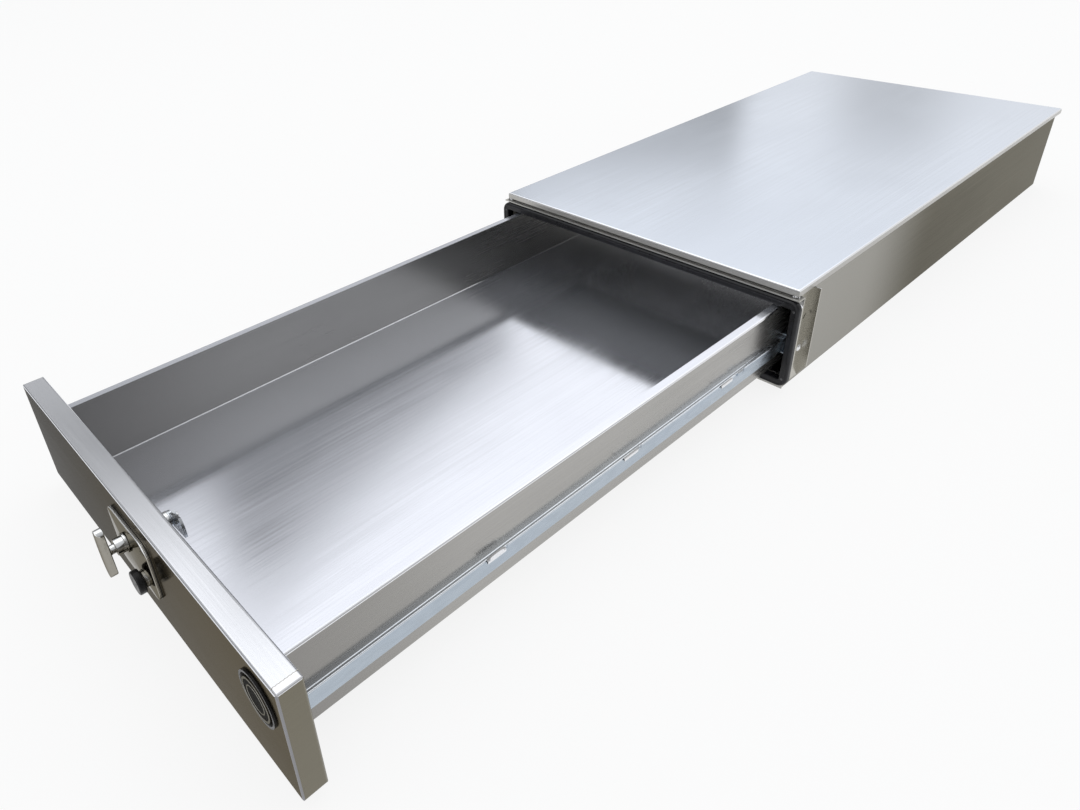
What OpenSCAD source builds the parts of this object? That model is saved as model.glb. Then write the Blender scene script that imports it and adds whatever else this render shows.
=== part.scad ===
// Lockable stainless steel drawer that runs out of a weatherproof sleeve on ball slides.
// Millimetres, +Z up. The drawer pulls out along -Y and is drawn standing open.
// The origin is the middle of the sleeve's base.

/* [Sheet metal] */
// Thickness of the stainless sheet
sheet = 1.5; // [1:0.1:2.5]
// Outside radius of the folds
fold_r = 3; // [2.6:0.2:5]
// Gap left round a sheet that is fitted inside another
seat_gap = 0.2; // [0.1:0.1:0.5]

/* [Drawer tray] */
// Outside width of the tray
tray_w = 508; // [300:1:800]
// Length of the tray from the panel's back skin to its rear wall
tray_l = 980; // [500:1:1200]
// Height of the tray
tray_h = 102.7; // [90:0.1:160]
// Height of the tray's underside above the base
tray_z = 33.5; // [30:0.5:45]
// Width of the flange along the top of each wall
tray_flange = 12; // [8:0.5:20]
// Width of the fold under the flange's edge
tray_hem = 7; // [4:0.5:7.5]

/* [Drawer front] */
// Width of the front panel over the tray at each end
panel_side = 46; // [40:1:80]
// Height of the front panel
panel_h = 144; // [140:1:180]
// Thickness of the folded front panel
panel_t = 26; // [18:1:30]
// Height of the panel's lower edge above the base
panel_z = 16; // [4:1:18]
// Width of the lips folded in at the panel's back
panel_lip = 14; // [8:1:20]
// How far the panel's back stands off the seal
drawer_open = 794; // [400:1:800]

/* [Sleeve] */
// Room for a slide between the tray and the sleeve's wall
slide_gap = 14; // [13.6:0.1:20]
// Length of the sleeve
housing_l = 1066; // [1030:1:1400]
// Rise of the sleeve's top above the seal's top edge
housing_rise = 14.5; // [12.5:0.1:40]
// Width of the flanges under the lid
housing_flange = 16; // [10:1:30]
// Overhang of the lid at each side
lid_side = 6; // [4:0.5:12]
// Overhang of the lid at the front
lid_front = 11; // [6:0.5:16]
// Overhang of the lid at the back
lid_rear = 8; // [4:0.5:14]
// Height of the lid's turned-down lip
lid_lip = 10; // [6:0.5:12]
// Diameter of the fixing holes in the base
base_hole_d = 9; // [6:0.5:12]
// Distance of the fixing holes from the sleeve's sides
base_hole_side = 60; // [40:1:120]
// Distance of the fixing holes from the sleeve's ends
base_hole_end = 90; // [60:1:200]

/* [Opening and seal] */
// Depth of the seal in front of the sleeve
seal_d = 20; // [16:1:30]
// Width of the seal's face at the sides
seal_side = 12.5; // [10:0.5:20]
// Height of the seal's face along the top
seal_top = 12; // [10:0.5:16]
// Height of the seal's face along the bottom
seal_foot = 13; // [10:0.5:16]
// Gap between the slides and the seal's inner edge
seal_gap = 9.2; // [8.4:0.1:12]
// Gap between the tray's top and the seal's inner edge
seal_over = 3.8; // [3:0.1:6]
// Gap between the tray's underside and the seal's inner edge
seal_under = 6.5; // [4:0.1:8]
// Radius of the seal's outer corners
seal_r = 14; // [10:0.5:20]
// Thickness of the seal in front of the frame's collar
seal_t = 10; // [6:0.5:12]

/* [Slides] */
// Diameter of the balls
ball_d = 3.2; // [2.4:0.1:3.4]
// Number of balls in a row
ball_count = 5; // [3:1:6]
// Distance between neighbouring balls
ball_pitch = 30; // [10:1:32]
// Height of the drawer's rail
rail_h = 22; // [18:0.5:26]
// Height of the slides' centre above the base
rail_z = 71.3; // [60:0.1:80]
// Number of pressed lugs on a drawer rail
lug_count = 3; // [1:1:4]
// Distance between neighbouring lugs
lug_pitch = 225; // [60:1:230]
// Length of a lug
lug_l = 21; // [12:1:30]

/* [Lock] */
// Width of the lock plate
plate_w = 98; // [90:1:110]
// Height of the lock plate
plate_h = 78; // [74:1:86]
// Height of the handle's axis above the base
handle_z = 110; // [106:0.5:112]
// Length of the handle's bar
bar_l = 62; // [50:1:80]
// Width of the handle's bar
bar_w = 13; // [10:0.5:16]
// Diameter of the spindle
spindle_d = 10; // [8:0.5:11]
// Reach of the latch cam from its axis
cam_reach = 36; // [33:0.5:37]
// Angle of the latch cam above level while the drawer stands open
cam_angle = 14; // [0:1:30]
// Distance of the key lock to the right of the handle
key_x = 29; // [26:0.5:34]
// Distance of the key lock below the handle
key_drop = 30; // [26:0.5:34]
// Diameter of the black knob on the key lock
knob_d = 27; // [24:0.5:30]

/* [Badge] */
// Diameter of the plain round badge
badge_d = 55; // [40:1:60]

/* [Hidden] */
$fn = 96;

// One overrun serves every cut
over = 1;
// Gap between curved faces that pass or hold each other
round_gap = 0.3;
// Gap between a shaft and its bore
shaft_gap = 0.06;
// Gap between flat faces that turn or slide on each other
face_gap = 0.3;
// Gap left between panel and seal when the drawer is shut
shut_gap = 0.5;

// Widths and places that follow from the driving sizes
fold_in = fold_r - sheet;
tray_half = tray_w / 2;
housing_half = tray_half + slide_gap + sheet;
housing_in = housing_half - sheet;
panel_half = tray_half + panel_side;
panel_w = 2 * panel_half;
front_y = -housing_l / 2;
panel_y = front_y - seal_d - drawer_open - panel_t;
tray_y = panel_t - sheet;
tray_back = tray_y + tray_l;
tray_top = tray_z + tray_h;

// Front frame and seal
rail_t = 1.5;
groove_r = ball_d / 2 + round_gap;
rail_d = 2 * (groove_r + rail_t);
seal_in = tray_half + rail_d + seal_gap;
seal_z0 = tray_z - seal_under;
seal_z1 = tray_top + seal_over;
seal_out = seal_in + seal_side;
seal_low = seal_z0 - seal_foot;
seal_high = seal_z1 + seal_top;
housing_h = seal_high + housing_rise;
lid_z = housing_h + sheet;
collar_in = 3;
collar_d = 5;
collar_front = -seal_d + seal_t;
header_gap = 3;
ledge_d = 16;
flange_set = 1;
frame_r = seal_r - collar_in;
seal_chamfer = 3;
seal_lip = 1.5;
screw_in = 5;
screw_inset = 14;
screw_head = 6;
screw_shank = 3;
screw_dome = 1.6;
screw_sink = 0.6;
screw_tip = 3;

// Slides
rail_front = 2;
rail_rear = 5;
rail_half = rail_h / 2;
race_d = 0.5;
race_z = rail_half + groove_r - race_d;
ball_u = rail_t + groove_r;
hook_angle = 45;
cabinet_front = 3;
cabinet_l = tray_l + 18;
cage_t = 0.6;
cage_gap = 0.3;
cage_end = 8;
cage_start = 6;
lug_first = 249;
lug_bulge = 1.8;
lug_h = 5;
lug_slit = 2.5;
bumper_l = 12;

// Lock, all places from the panel's front face and the handle's axis
gasket_t = 1.2;
gasket_rim = 0.8;
plate_t = 2;
plate_dome = 2.5;
plate_r = 16;
plate_x = 4;
plate_drop = 14;
boss_l = 11;
barrel_d = spindle_d + 8;
barrel_rim = 2;
barrel_end = 14.5;
nut_l = 7;
nut_share = 1.4;
backplate_t = 2;
backplate_w = 64;
backplate_h = 30;
bar_d = 9;
bar_round_share = 0.55;
bar_bow = 1;
stem_l = 6;
spindle_sq_share = 0.7;
cam_t = 3;
cam_root = 14;
cam_tip = 24;
cam_nut_share = 1.8;
cam_nut_l = 4;
washer_t = 1.2;
stud_share = 0.6;
stud_l = 6;
key_barrel_d = 19;
key_plug_d = 12;
key_rim = 1.6;
key_end = 9;
key_nut_l = 5;
knob_l = 8;
knob_stem_l = 1;
knob_stem_d = 20;
knob_edge = 1.5;
tail_l = 14;
tail_w = 8;
tail_t = 2;

// Badge
badge_t = 2;
badge_ring = 2.5;
badge_lift = 0.6;
badge_in = 40.5;
badge_drop = 43;

// Brackets behind the seal
bracket_t = 2;
bracket_leg = 35;
bracket_out = 14;
bracket_z = 9;
bracket_top = 11;
bracket_y = 2;
bracket_cut_share = 1.3;
slot_l = 10;
slot_w = 2.6;
slot_y = 26;
slot_z = 112;
slot_angle = 45;
rivet_y = 27;
rivet_z = 59;
rivet_d = 12;
rivet_h = 2.6;
rivet_shank_d = 5;

// Places of the four fixing holes in the base
base_hole_x = housing_half - base_hole_side;
base_hole_y = housing_l / 2 - base_hole_end;

// Frames of reference: y counts back from the sleeve's front, or from the panel's face
module sleeve_frame() { translate([0, front_y, 0]) children(); }
module drawer_frame() { translate([0, panel_y, 0]) children(); }

// Runs a profile drawn in X and Z along Y
module run_y(y0, y1) {
    translate([0, y1, 0]) rotate([90, 0, 0]) linear_extrude(y1 - y0) children();
}

// Runs a profile drawn in Y and Z along X
module run_x(x0, x1) {
    translate([x0, 0, 0]) rotate([90, 0, 90]) linear_extrude(x1 - x0) children();
}

// Rectangle with round corners between two corner points
module soft_rect(x0, z0, x1, z1, r) {
    translate([x0 + r, z0]) square([x1 - x0 - 2 * r, z1 - z0]);
    translate([x0, z0 + r]) square([x1 - x0, z1 - z0 - 2 * r]);
    for (x = [x0 + r, x1 - r], z = [z0 + r, z1 - r]) translate([x, z]) circle(r);
}

// Long round-ended shape lying along X
module stadium(l, w) {
    translate([-(l - w) / 2, -w / 2]) square([l - w, w]);
    for (s = [-1, 1]) translate([s * (l - w) / 2, 0]) circle(w / 2);
}

// Disc whose axis runs along Y
module disc_y(d, y0, y1) { run_y(y0, y1) circle(d / 2); }

// Hexagon nut whose axis runs along Y
module hex_y(flats, y0, y1) { run_y(y0, y1) circle(flats / (2 * cos(30)), $fn = 6); }

// Pillow-shaped block whose crown lies at the origin and faces -Y
module pillow_y(w, h, rise) {
    side_r = (pow(w / 2, 2) + pow(rise, 2)) / (2 * rise);
    tall_r = (pow(h / 2, 2) + pow(rise, 2)) / (2 * rise);
    intersection() {
        run_x(-w, w) translate([tall_r, 0]) circle(tall_r, $fn = 256);
        translate([0, side_r, -h]) cylinder(2 * h, r = side_r, $fn = 256);
    }
}

module both_sides() {
    children();
    mirror([1, 0, 0]) children();
}

// Folded box shape, open on one side by what is cut away from it
module soft_box(x0, x1, y0, y1, z0, z1, r) {
    intersection() {
        run_y(y0, y1) soft_rect(x0, z0, x1, z1, r);
        run_x(x0, x1) soft_rect(y0, z0, y1, z1, r);
    }
}

// The sleeve: one sheet folded into base, walls and the flanges under the lid
module housing_shell() {
    color([0.66, 0.66, 0.65]) sleeve_frame() difference() {
        run_y(0, housing_l) difference() {
            soft_rect(-housing_half, 0, housing_half, housing_h, fold_r);
            soft_rect(-housing_in, sheet, housing_in, housing_h - sheet, fold_in);
            translate([-housing_half + housing_flange, housing_h - 2 * sheet])
                square([2 * (housing_half - housing_flange), 3 * sheet]);
        }
        for (x = [-base_hole_x, base_hole_x], y = [-base_hole_y, base_hole_y])
            translate([x, housing_l / 2 + y, -over]) cylinder(sheet + 2 * over, d = base_hole_d);
    }
}

// Rear wall, a shallow pan between the sleeve's walls
module rear_panel() {
    pan_d = 15;
    r = fold_in + seat_gap;
    x = housing_in - seat_gap;
    z0 = sheet + seat_gap;
    z1 = housing_h - sheet - seat_gap;
    color([0.64, 0.64, 0.63]) sleeve_frame() difference() {
        run_y(housing_l - pan_d, housing_l) soft_rect(-x, z0, x, z1, r + sheet);
        run_y(housing_l - pan_d - over, housing_l - sheet)
            soft_rect(-x + sheet, z0 + sheet, x - sheet, z1 - sheet, r);
    }
}

// Lid with a lip turned down all round
module lid() {
    x = housing_half + lid_side;
    y1 = housing_l + lid_rear;
    color([0.80, 0.81, 0.83]) sleeve_frame() difference() {
        soft_box(-x, x, -lid_front, y1, lid_z - lid_lip - 2 * fold_r, lid_z, fold_r);
        soft_box(-x + sheet, x - sheet, -lid_front + sheet, y1 - sheet,
            lid_z - lid_lip - 3 * fold_r, housing_h, fold_in);
        translate([-x - over, -lid_front - over, lid_z - lid_lip - 4 * fold_r])
            cube([2 * (x + over), y1 + lid_front + 2 * over, 4 * fold_r]);
    }
}

// Outlines of the opening, shared by the frame and its seal
module collar_outline(inset) {
    x = seal_out - collar_in - inset;
    soft_rect(-x, seal_low + collar_in + inset, x, seal_high - collar_in - inset, frame_r - inset);
}
module opening_outline(grow, r) {
    x = seal_in + grow;
    soft_rect(-x, seal_z0 - grow, x, seal_z1 + grow, r);
}

// Front frame: face plate with a raised collar, a flange in it that catches the latch, and a
// ledge over the seal
module front_frame() {
    x = seal_out - collar_in;
    ledge_z = lid_z - lid_lip - header_gap;
    color([0.60, 0.59, 0.56]) sleeve_frame() {
        run_y(-ledge_d, -sheet / 2) translate([-x, ledge_z - sheet]) square([2 * x, sheet]);
        difference() {
            run_y(-sheet, 0) union() {
                collar_outline(0);
                translate([-x, seal_z0]) square([2 * x, ledge_z - seal_z0]);
                translate([-housing_half, 0]) square([2 * housing_half, housing_h]);
            }
            run_y(-sheet - over, over) intersection() {
                collar_outline(sheet);
                translate([-housing_in, 0]) square([2 * housing_in, housing_h]);
            }
        }
        difference() {
            run_y(collar_front, -sheet) collar_outline(0);
            run_y(-collar_d, -sheet + over) collar_outline(sheet);
            run_y(collar_front - over, -collar_d - sheet) collar_outline(sheet);
            run_y(-collar_d - sheet - over, -collar_d + over)
                opening_outline(flange_set, seal_r / 2);
            screw_places() run_y(-collar_d - sheet - over, -collar_d + over)
                circle(screw_shank / 2 + round_gap);
        }
    }
}

// Rubber seal: face ring with a chamfered rim, and a foot that sits in the collar
module seal() {
    color([0.05, 0.05, 0.055]) sleeve_frame() {
        difference() {
            union() {
                run_y(-seal_d + seal_chamfer, collar_front)
                    soft_rect(-seal_out, seal_low, seal_out, seal_high, seal_r);
                run_y(collar_front - over, -collar_d - sheet) collar_outline(sheet + seat_gap);
                run_y(-seal_d, -seal_d + seal_chamfer) soft_rect(-seal_out + seal_chamfer,
                    seal_low + seal_chamfer, seal_out - seal_chamfer, seal_high - seal_chamfer,
                    seal_r - seal_chamfer);
            }
            run_y(-seal_d - over, over) opening_outline(0, seal_r / 2);
            run_y(-seal_d - over, -seal_d + seal_chamfer)
                opening_outline(seal_lip, seal_r / 2 + seal_lip);
            screw_places() {
                run_y(-seal_d - over, screw_seat) circle(screw_head / 2 + round_gap);
                run_y(-seal_d, -collar_d) circle(screw_shank / 2 + round_gap);
            }
        }
    }
}

// Pan head screws that clamp the seal to the collar, sunk a little below its face
screw_seat = -seal_d + screw_sink + screw_dome;
module screw_places() {
    x = seal_in + screw_in;
    for (sx = [-1, 1], z = [seal_low + screw_inset, seal_high - screw_inset])
        translate([sx * x, 0, z]) children();
}
module pan_screw(seat, tip) {
    intersection() {
        disc_y(screw_head, seat - screw_dome, seat);
        translate([0, seat + screw_head / 2, 0]) sphere(screw_head / 2 + screw_dome);
    }
    disc_y(screw_shank, seat, tip);
}
module seal_screws() {
    color([0.75, 0.75, 0.76]) sleeve_frame() screw_places()
        pan_screw(screw_seat, -collar_d + screw_tip);
}

// Angle bracket on the sleeve's side, just behind the seal
module bracket_right() {
    top = lid_z - bracket_top - sheet;
    y1 = bracket_y + bracket_leg;
    cut = bracket_out * bracket_cut_share;
    color([0.68, 0.66, 0.62]) sleeve_frame() translate([housing_half, 0, 0]) difference() {
        union() {
            translate([0, bracket_y, bracket_z])
                cube([bracket_t, bracket_leg, top - bracket_z]);
            run_y(y1 - bracket_t, y1) polygon([[0, bracket_z], [bracket_t, bracket_z],
                [bracket_out, bracket_z + cut], [bracket_out, top], [0, top]]);
        }
        translate([-over, slot_y, slot_z]) rotate([slot_angle, 0, 0]) rotate([90, 0, 90])
            linear_extrude(bracket_t + 2 * over) stadium(slot_l, slot_w);
        translate([-over, rivet_y, rivet_z]) rotate([0, 90, 0])
            cylinder(bracket_t + 2 * over, d = rivet_shank_d + 2 * seat_gap);
    }
}
module bracket_left() { mirror([1, 0, 0]) bracket_right(); }

// One dome-headed rivet in each bracket
module bracket_rivets() {
    r = (pow(rivet_d / 2, 2) + pow(rivet_h, 2)) / (2 * rivet_h);
    color([0.82, 0.82, 0.83]) both_sides() sleeve_frame()
        translate([housing_half, rivet_y, rivet_z]) rotate([0, 90, 0]) {
            cylinder(bracket_t, d = rivet_shank_d);
            translate([0, 0, bracket_t]) intersection() {
                cylinder(rivet_h, d = rivet_d);
                translate([0, 0, rivet_h - r]) sphere(r);
            }
        }
}

// Places a slide on the tray's right wall: x counts outward from the tray, z from its centre
module slide_frame() { translate([tray_half, 0, rail_z]) children(); }

// Drawer rail: channel that opens to the tray's wall, with a ball race along both flanges
module drawer_rail_profile() {
    difference() {
        soft_rect(-rail_d, -rail_half, rail_d, rail_half, rail_t);
        translate([-rail_d, -rail_half + rail_t])
            square([2 * rail_d - rail_t, rail_h - 2 * rail_t]);
        translate([-2 * rail_d, -rail_h]) square([2 * rail_d, 2 * rail_h]);
        for (s = [-1, 1]) translate([ball_u, s * race_z]) circle(groove_r);
    }
}
module drawer_rail_right() {
    y0 = panel_t + rail_front;
    y1 = tray_back - rail_rear;
    lug_r = (pow(lug_l / 2, 2) + pow(lug_bulge, 2)) / (2 * lug_bulge);
    color([0.70, 0.74, 0.79]) drawer_frame() slide_frame() {
        run_y(y0, y1) drawer_rail_profile();
        for (i = [0 : lug_count - 1]) translate([rail_d, panel_t + lug_first + i * lug_pitch, 0])
            difference() {
                translate([lug_bulge - lug_r, 0, rail_half - lug_h]) cylinder(lug_h, r = lug_r);
                translate([-2 * lug_r, -lug_r, -rail_half]) cube([2 * lug_r - rail_t / 2, 2 * lug_r,
                    2 * rail_h]);
                for (s = [-1, 1]) translate([-rail_t, s * (lug_l / 2 - lug_slit) - lug_slit / 2,
                    rail_half - lug_slit]) cube([rail_t + lug_bulge / 2, lug_slit, 2 * lug_slit]);
            }
    }
}
module drawer_rail_left() { mirror([1, 0, 0]) drawer_rail_right(); }

// Cabinet rail: channel on the sleeve's wall whose hooked edges hold the balls from outside
module cabinet_rail_profile() {
    top = race_z + groove_r;
    translate([slide_gap - rail_t, -top - rail_t]) square([rail_t, 2 * (top + rail_t)]);
    for (s = [-1, 1]) scale([1, s]) {
        translate([ball_u, top]) square([slide_gap - ball_u, rail_t]);
        translate([ball_u, race_z]) difference() {
            circle(groove_r + rail_t);
            circle(groove_r);
            translate([0, -rail_d]) square([rail_d, 2 * rail_d]);
            rotate(90 + hook_angle) translate([-rail_d, 0]) square([3 * rail_d, 2 * rail_d]);
        }
    }
}
module cabinet_rail_right() {
    color([0.66, 0.70, 0.75]) sleeve_frame() slide_frame()
        run_y(cabinet_front, cabinet_front + cabinet_l) cabinet_rail_profile();
}
module cabinet_rail_left() { mirror([1, 0, 0]) cabinet_rail_right(); }

// Rubber stops at the back of the cabinet rails
module rail_bumpers() {
    y0 = tray_back - rail_rear - panel_t - seal_d - shut_gap + face_gap;
    color([0.07, 0.07, 0.07]) both_sides() sleeve_frame() slide_frame()
        translate([rail_t, y0, -rail_half / 2])
            cube([slide_gap - 2 * rail_t, bumper_l, rail_half]);
}

// Ball cage: channel between the two rails with a hole for each ball
cage_l = (ball_count - 1) * ball_pitch + 2 * cage_end;
module ball_places() {
    for (i = [0 : ball_count - 1], s = [-1, 1])
        translate([ball_u, cage_start + cage_end + i * ball_pitch, s * race_z]) children();
}
module ball_cage_right() {
    z = race_z + cage_gap;
    x0 = rail_t / 2;
    x1 = rail_d + lug_bulge + cage_gap;
    color([0.80, 0.74, 0.55]) sleeve_frame() slide_frame() difference() {
        run_y(cage_start, cage_start + cage_l) difference() {
            translate([x0, -z - cage_t]) square([x1 + cage_t - x0, 2 * (z + cage_t)]);
            translate([x0 - over, -z]) square([x1 - x0 + over, 2 * z]);
        }
        ball_places() cylinder(rail_h, d = ball_d + 2 * round_gap, center = true);
    }
}
module ball_cage_left() { mirror([1, 0, 0]) ball_cage_right(); }
module balls_right() {
    color([0.85, 0.86, 0.88]) sleeve_frame() slide_frame() ball_places() sphere(d = ball_d);
}
module balls_left() { mirror([1, 0, 0]) balls_right(); }

// Tray: floor, walls and hemmed flanges folded from one sheet
module tray_profile() {
    edge = tray_half - tray_flange;
    difference() {
        soft_rect(-tray_half, tray_z, tray_half, tray_top, fold_r);
        soft_rect(-tray_half + sheet, tray_z + sheet, tray_half - sheet, tray_top - sheet, fold_in);
        translate([-edge, tray_top - 2 * sheet]) square([2 * edge, 4 * sheet]);
    }
    for (x = [-edge - tray_hem, edge]) translate([x, tray_top - 2 * sheet])
        square([tray_hem, sheet]);
}
module tray() {
    color([0.70, 0.70, 0.69]) drawer_frame() run_y(tray_y, tray_back) tray_profile();
}

// Holes through the layers behind the lock plate
module lock_holes(y0, y1) {
    translate([0, 0, handle_z]) disc_y(barrel_d + 2 * seat_gap, y0, y1);
    translate([key_x, 0, handle_z - key_drop]) disc_y(key_barrel_d + 2 * seat_gap, y0, y1);
}

// Front wall of the tray, against the panel's back skin
module tray_front() {
    x = tray_half - sheet - seat_gap;
    color([0.68, 0.68, 0.67]) drawer_frame() difference() {
        run_y(tray_y, panel_t) intersection() {
            soft_rect(-x, tray_z + sheet + seat_gap, x, tray_top + fold_r, fold_in);
            translate([-tray_half, tray_z]) square([tray_w, tray_h - 2 * sheet - seat_gap]);
        }
        lock_holes(tray_y - over, panel_t + over);
    }
}

// Rear wall of the tray with a flange folded forward along its top
module tray_rear() {
    x = tray_half - sheet - seat_gap;
    y1 = tray_back - seat_gap;
    edge = tray_half - tray_flange - seat_gap;
    z1 = tray_top - 2 * sheet - seat_gap;
    color([0.68, 0.68, 0.67]) drawer_frame() {
        run_y(y1 - sheet, y1) intersection() {
            soft_rect(-x, tray_z + sheet + seat_gap, x, tray_top + fold_r, fold_in);
            union() {
                translate([-tray_half, tray_z]) square([tray_w, z1 - tray_z]);
                translate([-edge, tray_z]) square([2 * edge, tray_h]);
            }
        }
        run_y(y1 - tray_flange, y1) translate([-edge, tray_top - sheet]) square([2 * edge, sheet]);
    }
}

// Front panel: a folded pan with lips turned in at the back
module front_panel() {
    z1 = panel_z + panel_h;
    color([0.62, 0.60, 0.57]) drawer_frame() difference() {
        soft_panel(0, panel_t);
        soft_box(-panel_half + sheet, panel_half - sheet, sheet, panel_t - sheet,
            panel_z + sheet, z1 - sheet, fold_in);
        translate([-panel_half + panel_lip, panel_t - 2 * sheet, panel_z + panel_lip])
            cube([panel_w - 2 * panel_lip, 4 * sheet, panel_h - 2 * panel_lip]);
        lock_holes(-over, 3 * sheet);
    }
}
module soft_panel(y0, y1) {
    intersection() {
        soft_box(-panel_half, panel_half, y0, y1, panel_z, panel_z + panel_h, fold_r);
        translate([0, 0, panel_z]) linear_extrude(panel_h)
            soft_rect(-panel_half, y0, panel_half, y1, fold_r);
    }
}

// Inner skin that closes the panel's back
module panel_back() {
    inset = sheet + fold_in + seat_gap;
    x = panel_half - inset;
    color([0.62, 0.62, 0.61]) drawer_frame() difference() {
        run_y(tray_y - sheet, tray_y) translate([-x, panel_z + inset])
            square([2 * x, panel_h - 2 * inset]);
        lock_holes(tray_y - 2 * sheet, panel_t);
    }
}

// Round badge: black rim with a plain disc in it
module badge_frame() {
    translate([panel_half - badge_in, 0, panel_z + panel_h - badge_drop]) children();
}
module badge_rim() {
    color([0.04, 0.04, 0.045]) drawer_frame() badge_frame() difference() {
        disc_y(badge_d, -badge_t, 0);
        disc_y(badge_d - 2 * badge_ring, -badge_t - over, -badge_t / 2);
    }
}
module badge_disc() {
    r = badge_d / 2 - badge_ring - seat_gap;
    color([0.74, 0.75, 0.77]) drawer_frame() badge_frame() rotate([90, 0, 0])
        translate([0, 0, badge_t / 2]) {
            cylinder(badge_t / 2, r = r);
            translate([0, 0, badge_t / 2]) cylinder(badge_lift, r1 = r, r2 = r - badge_ring);
        }
}

// Lock plate and the gasket under it
module plate_outline(grow) {
    x = plate_w / 2 + grow;
    z = plate_h / 2 + grow;
    translate([plate_x, handle_z - plate_drop]) soft_rect(-x, -z, x, z, plate_r + grow);
}
module lock_gasket() {
    color([0.04, 0.04, 0.045]) drawer_frame() difference() {
        run_y(-gasket_t, 0) plate_outline(gasket_rim);
        lock_holes(-gasket_t - over, over);
    }
}
module lock_plate() {
    color([0.80, 0.80, 0.81]) drawer_frame() difference() {
        intersection() {
            run_y(plate_front, -gasket_t) plate_outline(0);
            translate([plate_x, plate_front, handle_z - plate_drop])
                pillow_y(plate_w, plate_h, plate_dome);
        }
        lock_holes(plate_front - over, over);
    }
}

// Places along the lock's axis
plate_front = -gasket_t - plate_t - plate_dome;
boss_front = plate_front - boss_l;
barrel_back = panel_t + barrel_end;

// Barrel that carries the spindle through the panel
module lock_barrel() {
    color([0.82, 0.82, 0.83]) drawer_frame() translate([0, 0, handle_z]) difference() {
        union() {
            disc_y(barrel_d, boss_front, barrel_back);
            disc_y(barrel_d + 2 * barrel_rim, plate_front - barrel_rim, plate_front);
        }
        disc_y(spindle_d + 2 * shaft_gap, boss_front - over, barrel_back + over);
    }
}
module barrel_nut() {
    y0 = panel_t + backplate_t;
    color([0.72, 0.73, 0.75]) drawer_frame() translate([0, 0, handle_z]) difference() {
        hex_y(barrel_d * nut_share, y0, y0 + nut_l);
        disc_y(barrel_d + 2 * seat_gap, y0 - over, y0 + nut_l + over);
    }
}

// Stiffening plate on the tray's front wall, held by two screws
module backplate_screw_places() {
    for (s = [-1, 1]) translate([s * (backplate_w / 2 - screw_head), 0, handle_z]) children();
}
module lock_backplate() {
    color([0.70, 0.74, 0.79]) drawer_frame() difference() {
        run_y(panel_t, panel_t + backplate_t) translate([0, handle_z])
            soft_rect(-backplate_w / 2, -backplate_h / 2, backplate_w / 2, backplate_h / 2, fold_r);
        translate([0, 0, handle_z])
            disc_y(barrel_d + 2 * seat_gap, panel_t - over, panel_t + backplate_t + over);
    }
}
module backplate_screws() {
    color([0.72, 0.73, 0.75]) drawer_frame() backplate_screw_places() mirror([0, 1, 0])
        translate([0, -panel_t - backplate_t, 0]) intersection() {
            disc_y(screw_head, -screw_dome, 0);
            translate([0, screw_head / 2, 0]) sphere(screw_head / 2 + screw_dome);
        }
}

// T handle with its spindle, squared for the cam and reduced to a stud for the nut
washer_back = barrel_back + face_gap + washer_t;
cam_front = washer_back + seat_gap;
cam_back = cam_front + cam_t;
module t_handle() {
    bar_front = boss_front - stem_l - bar_d;
    bow_r = (pow(bar_l / 2, 2) + pow(bar_bow, 2)) / (2 * bar_bow);
    sq = spindle_d * spindle_sq_share;
    color([0.80, 0.80, 0.81]) drawer_frame() translate([0, 0, handle_z]) {
        intersection() {
            run_y(bar_front, bar_front + bar_d) rotate(90) stadium(bar_l, bar_w);
            translate([0, bar_front + bar_w * bar_round_share, -bar_l])
                cylinder(2 * bar_l, r = bar_w * bar_round_share);
            run_x(-bar_w, bar_w) translate([bar_front + bow_r, 0]) circle(bow_r, $fn = 720);
        }
        disc_y(spindle_d, bar_front + bar_d / 2, barrel_back + face_gap / 2);
        run_y(barrel_back, cam_back) translate([-sq / 2, -sq / 2]) square(sq);
        disc_y(spindle_d * stud_share, cam_back - over, cam_back + stud_l);
    }
}

// Fan-shaped cam that turns up behind the frame's flange
module latch_cam() {
    sq = spindle_d * spindle_sq_share + 2 * seat_gap;
    color([0.72, 0.75, 0.79]) drawer_frame() translate([0, 0, handle_z]) rotate([0, -cam_angle, 0])
        difference() {
            run_y(cam_front, cam_back) union() {
                circle(cam_root / 2 + sheet);
                intersection() {
                    circle(cam_reach);
                    polygon([[0, -cam_root / 2], [cam_reach, -cam_tip / 2], [2 * cam_reach, 0],
                        [cam_reach, cam_tip / 2], [0, cam_root / 2]]);
                }
            }
            rotate([0, cam_angle, 0]) run_y(cam_front - over, cam_back + over)
                translate([-sq / 2, -sq / 2]) square(sq);
        }
}
module cam_washer() {
    sq = spindle_d * spindle_sq_share + 2 * seat_gap;
    color([0.72, 0.75, 0.79]) drawer_frame() translate([0, 0, handle_z]) difference() {
        disc_y(barrel_d, barrel_back + face_gap, washer_back);
        disc_y(sq * sqrt(2), barrel_back, washer_back + over);
    }
}
module cam_nut() {
    y0 = cam_back + seat_gap;
    d = spindle_d * stud_share;
    color([0.72, 0.73, 0.75]) drawer_frame() translate([0, 0, handle_z]) difference() {
        hex_y(d * cam_nut_share, y0, y0 + cam_nut_l);
        disc_y(d + 2 * seat_gap, y0 - over, y0 + stud_l);
    }
}

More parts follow.
